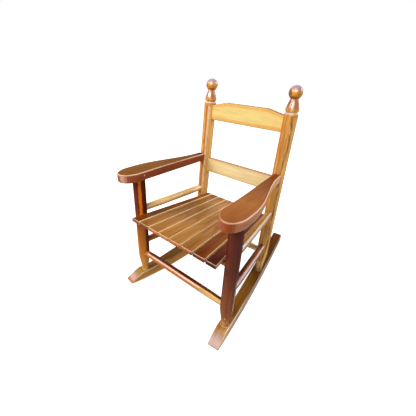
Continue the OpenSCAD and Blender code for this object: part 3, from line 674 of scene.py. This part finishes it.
cross_rung("front_stretcher", front_line, 0.108,
           [(0.0, (216, 164, 92)), (0.07, (190, 122, 62)), (0.3, (188, 118, 58)),
            (0.65, (208, 148, 80)), (0.85, (242, 206, 138)), (1.0, (248, 216, 156))], 51.3,
           bands=0.7, wander=0.1, gloss=0.3, coat_ior=1.5,
           stains=[((0, 0.84, 0.543), 0.10, 0.36, (92, 52, 24), 0.9, -0.13, 1.0),  # painted reflection of dark surroundings along the upper back
                   ((0, -0.6, -1), 0.6, 1.0, (160, 94, 44), 0.5),  # browner under the front
                   ((0, -0.65, 0.76), 0.965, 0.99, (252, 206, 192), 0.85, -0.135, 0.08)])  # painted highlight, a pale line
cross_rung("back_stretcher", back_line, 0.1065,
           [(0.0, (232, 200, 140)), (1.0, (246, 218, 160))], 54.4, bands=0.6,
           stains=[(underside, 0.3, 0.9, (140, 104, 60), 0.6)])
for name, line, z in (("seat_rung_front", front_line, 0.2311), ("seat_rung_back", back_line, 0.2074)):
    cross_rung(name, line, z, [(0.0, (176, 108, 52)), (0.5, (182, 116, 58)), (1.0, (174, 104, 50))],
               57.9 + z)
side_rung("side_rung_upper_right", 1, 0.257, 0.245,
          [(0.0, (170, 118, 52)), (0.5, (186, 134, 62)), (1.0, (206, 154, 80))], 61.2, bands=0.8,
          stains=[((0.75, 0, 0.66), 0.93, 0.985, (255, 240, 226), 0.95),  # painted highlight, a white line along it
                  ((1, 0, -0.6), 0.5, 0.95, (212, 146, 96), 0.7),  # outer side
                  ((-1, 0, 0.4), 0.6, 0.95, (140, 92, 42), 0.6)])  # painted shade on the inner side, under the arm
side_rung("side_rung_upper_left", -1, 0.257, 0.245,
          [(0.0, (250, 202, 126)), (0.5, (255, 220, 150)), (1.0, (250, 204, 134))], 64.6, bands=0.6,
          stains=[((0.9, 0, 0.436), 0.93, 0.99, (255, 230, 178), 0.7),  # painted highlight, a pale line along it
                  ((0.1, 0, -1), 0.6, 0.98, (236, 180, 116), 0.6)])  # underside
side_rung("side_rung_lower_right", 1, 0.147, 0.131,
          [(0.0, (150, 88, 50)), (0.5, (144, 82, 46)), (1.0, (176, 112, 66))], 67.1, bands=0.8,
          gloss=0.3,
          stains=[((-0.7, 0, 1), 0.75, 0.97, (84, 44, 28), 0.8),  # painted shade on the inner top
                  ((0.74, 0, 0.67), 0.925, 0.985, (255, 228, 220), 0.9),  # painted highlight, a white line along it
                  ((1, 0, -1), 0.6, 0.95, (160, 94, 54), 0.6)])  # outer side, below
side_rung("side_rung_lower_left", -1, 0.147, 0.131,
          [(0.0, (190, 116, 56)), (0.5, (196, 126, 64)), (1.0, (206, 146, 80))], 70.3, bands=0.8,
          stains=[((0, 0, 1), 0.6, 0.97, (160, 98, 50), 0.5),
                  (underside, 0.2, 0.9, (112, 60, 32), 0.8)])

# ---- Lacquer fillets at the feet -------------------------------------------------------------
# Where each foot enters its rocker, a thin bead of lacquer has gathered round the joint. It is
# pale, partly as dried lacquer and partly as a painted highlight, the light ring round the joint.
foot_radius = 0.010
rocker_height, rocker_radius, rocker_low_point = 0.032, 1.370, 0.0305


def rocker_top(y):
    """Height of a rocker's upper edge at a place, from its arc and the distance along the board."""
    along = y / math.cos(toe) + rocker_low_point
    return rocker_height + rocker_radius - np.sqrt(rocker_radius ** 2 - along ** 2)


def new_piece(name, points, quads, material):
    """A smooth mesh from its points and quads, in a CAD wood's slot, that rides on the one body."""
    mesh = bpy.data.meshes.new(name)
    mesh.from_pydata(points.reshape(-1, 3).tolist(), [], quads.reshape(-1, 4).tolist())
    mesh.polygons.foreach_set("use_smooth", np.ones(len(mesh.polygons), dtype=bool))
    mesh.validate()
    mesh.update()
    piece = add_object(name, mesh)
    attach(piece, "root")
    piece.data.materials.append(material)


def foot_bead(name, line, width=0.0017, height=0.0013):
    """A half round bead that runs round a foot: a small half circle carried round the foot's circle.

    The angle a goes round the foot and b goes over the bead, from the post's side to the board.
    """
    turns, steps, inset, sunk = 64, 9, 0.0002, 0.0003
    a = np.linspace(0, 2 * np.pi, turns, endpoint=False)[:, None]
    b = np.linspace(0, np.pi, steps)[None, :]
    out = foot_radius + width * (1 - np.cos(b)) / 2 - inset
    lift = height * np.sin(b) - sunk
    foot, rise = line
    joint = rocker_top(foot[1])
    x = foot[0] + rise[0] * joint + out * np.cos(a)
    y = foot[1] + rise[1] * joint + out * np.sin(a)
    u, v = np.arange(turns)[:, None], np.arange(steps - 1)[None, :]
    here, beyond = u * steps + v, (u + 1) % turns * steps + v
    quads = np.stack([here, beyond, beyond + 1, here + 1], -1)
    new_piece(name, np.stack([x, y, rocker_top(y) + lift], -1), quads, bead_lacquer_and_sheen)


# The bead's pale tones are partly lacquer colour and partly a painted highlight.
bead_lacquer_and_sheen, n = new_material("bead_lacquer_and_sheen")
speck = n.noise(n("ShaderNodeTexCoord").outputs["Object"], 260.0, 3)
n("ShaderNodeOutputMaterial", {"Surface": n("ShaderNodeBsdfPrincipled", {
    "Base Color": n.ramp(speck, [(0.3, linear(196, 140, 84)), (0.7, linear(240, 204, 152))]),
    "Roughness": n.ramp(speck, [(0.3, 0.12), (0.7, 0.3)]), "Coat Weight": 1.0, "Coat Roughness": 0.06,
    "Normal": n("ShaderNodeBump", {"Height": speck, "Strength": 0.4, "Distance": 0.0003}).outputs[0],
}).outputs[0]})
for way, side_name in ((-1, "left"), (1, "right")):
    foot_bead("lacquer_bead_front_" + side_name, front_line(way))
    foot_bead("lacquer_bead_back_" + side_name, back_line(way))

# ---- Brads and pins --------------------------------------------------------------------------
# Each slat is nailed to both battens with a small brad, and a small pale pin holds the joint of
# the left arm. A pale dome like it on the right front foot is a painted glint.
def domes(name, places, radius, height, material):
    """Small round heads: each is a grid of rings from its pole to its rim, round its own normal.

    A ring at share s of the radius stands height * (1 - s^2) above the surface, less a hair.
    """
    rings, turns, sunk = 6, 20, 0.00005
    places = [(Vector(p), Vector(d).normalized()) for p, d in places]
    s = np.linspace(0, 1, rings)[None, :, None]
    a = np.linspace(0, 2 * np.pi, turns, endpoint=False)[None, None, :]
    centre = np.array([p for p, d in places])[:, None, None, :]
    up = np.array([d for p, d in places])
    helper = np.where(np.abs(up[:, 2:3]) > 0.9, [[1.0, 0, 0]], [[0, 0, 1.0]])
    e1 = np.cross(helper, up)
    e1 /= np.linalg.norm(e1, axis=1, keepdims=True)
    e2 = np.cross(up, e1)
    e1, e2, up = e1[:, None, None, :], e2[:, None, None, :], up[:, None, None, :]
    lift = (height * (1 - s ** 2) - sunk) * np.ones_like(a)
    points = (centre + (s * np.cos(a) * radius)[..., None] * e1
              + (s * np.sin(a) * radius)[..., None] * e2 + lift[..., None] * up)
    k = np.arange(len(places))[:, None, None] * rings * turns
    i = np.arange(rings - 1)[None, :, None] * turns
    j = np.arange(turns)[None, None, :]
    j2 = (j + 1) % turns
    quads = np.stack([k + i + j, k + i + turns + j, k + i + turns + j2, k + i + j2], -1)
    new_piece(name, points, quads, material)


def head_finish(name, dark, pale):
    """Filler over a nail or pin, also used for a painted glint: two tones in fine noise, slightly rough.
    """
    material, n = new_material(name)
    grit = n.noise(n("ShaderNodeTexCoord").outputs["Object"], 1400.0, 2)
    n("ShaderNodeOutputMaterial", {"Surface": n("ShaderNodeBsdfPrincipled", {
        "Base Color": n.ramp(grit, [(0.35, linear(*dark)), (0.65, linear(*pale))]),
        "Roughness": n.ramp(grit, [(0.3, 0.25), (0.7, 0.45)]), "Coat Weight": 0.8, "Coat Roughness": 0.1,
        "Normal": n("ShaderNodeBump", {"Height": grit, "Strength": 0.3, "Distance": 0.0001}).outputs[0],
    }).outputs[0]})
    return material


def seat_points(share, y):
    """Places on the slats' top faces at a depth y, a share of a slat's width off its middle line."""
    back = y - seat_front
    t = back / seat_depth
    x = front_middles * (1 - t) + back_middles * t + share * slat_width
    return [(float(v), y, seat_height - back * math.tan(seat_slope)) for v in x]


brad_places = [(place, seat_face) for y, share in ((-0.1405, 0.06), (0.036, -0.05))
               for place in seat_points(share, y)]
domes("slat_brads", brad_places, 0.0012, 0.00035,
      head_finish("brad_filler", (70, 44, 24), (120, 84, 50)))


def on_surface(node, near):
    """The place on a CAD piece nearest to a point, and the direction its surface faces there."""
    mesh = nodes[node].data
    tree = BVHTree.FromPolygons([v.co for v in mesh.vertices], [p.vertices for p in mesh.polygons])
    place, normal, _, _ = tree.find_nearest(Vector(near))
    return tuple(place), tuple(normal)


# The second dome, on the right front foot, is a painted glint.
domes("arm_pin_and_foot_glint", [on_surface("armrest_left", (-0.115, -0.1635, 0.3640)),
                     on_surface("front_post_right", (0.1605, -0.1935, 0.0765))],
      0.0020, 0.0006, head_finish("pin_and_glint_wood", (214, 170, 120), (246, 214, 170)))
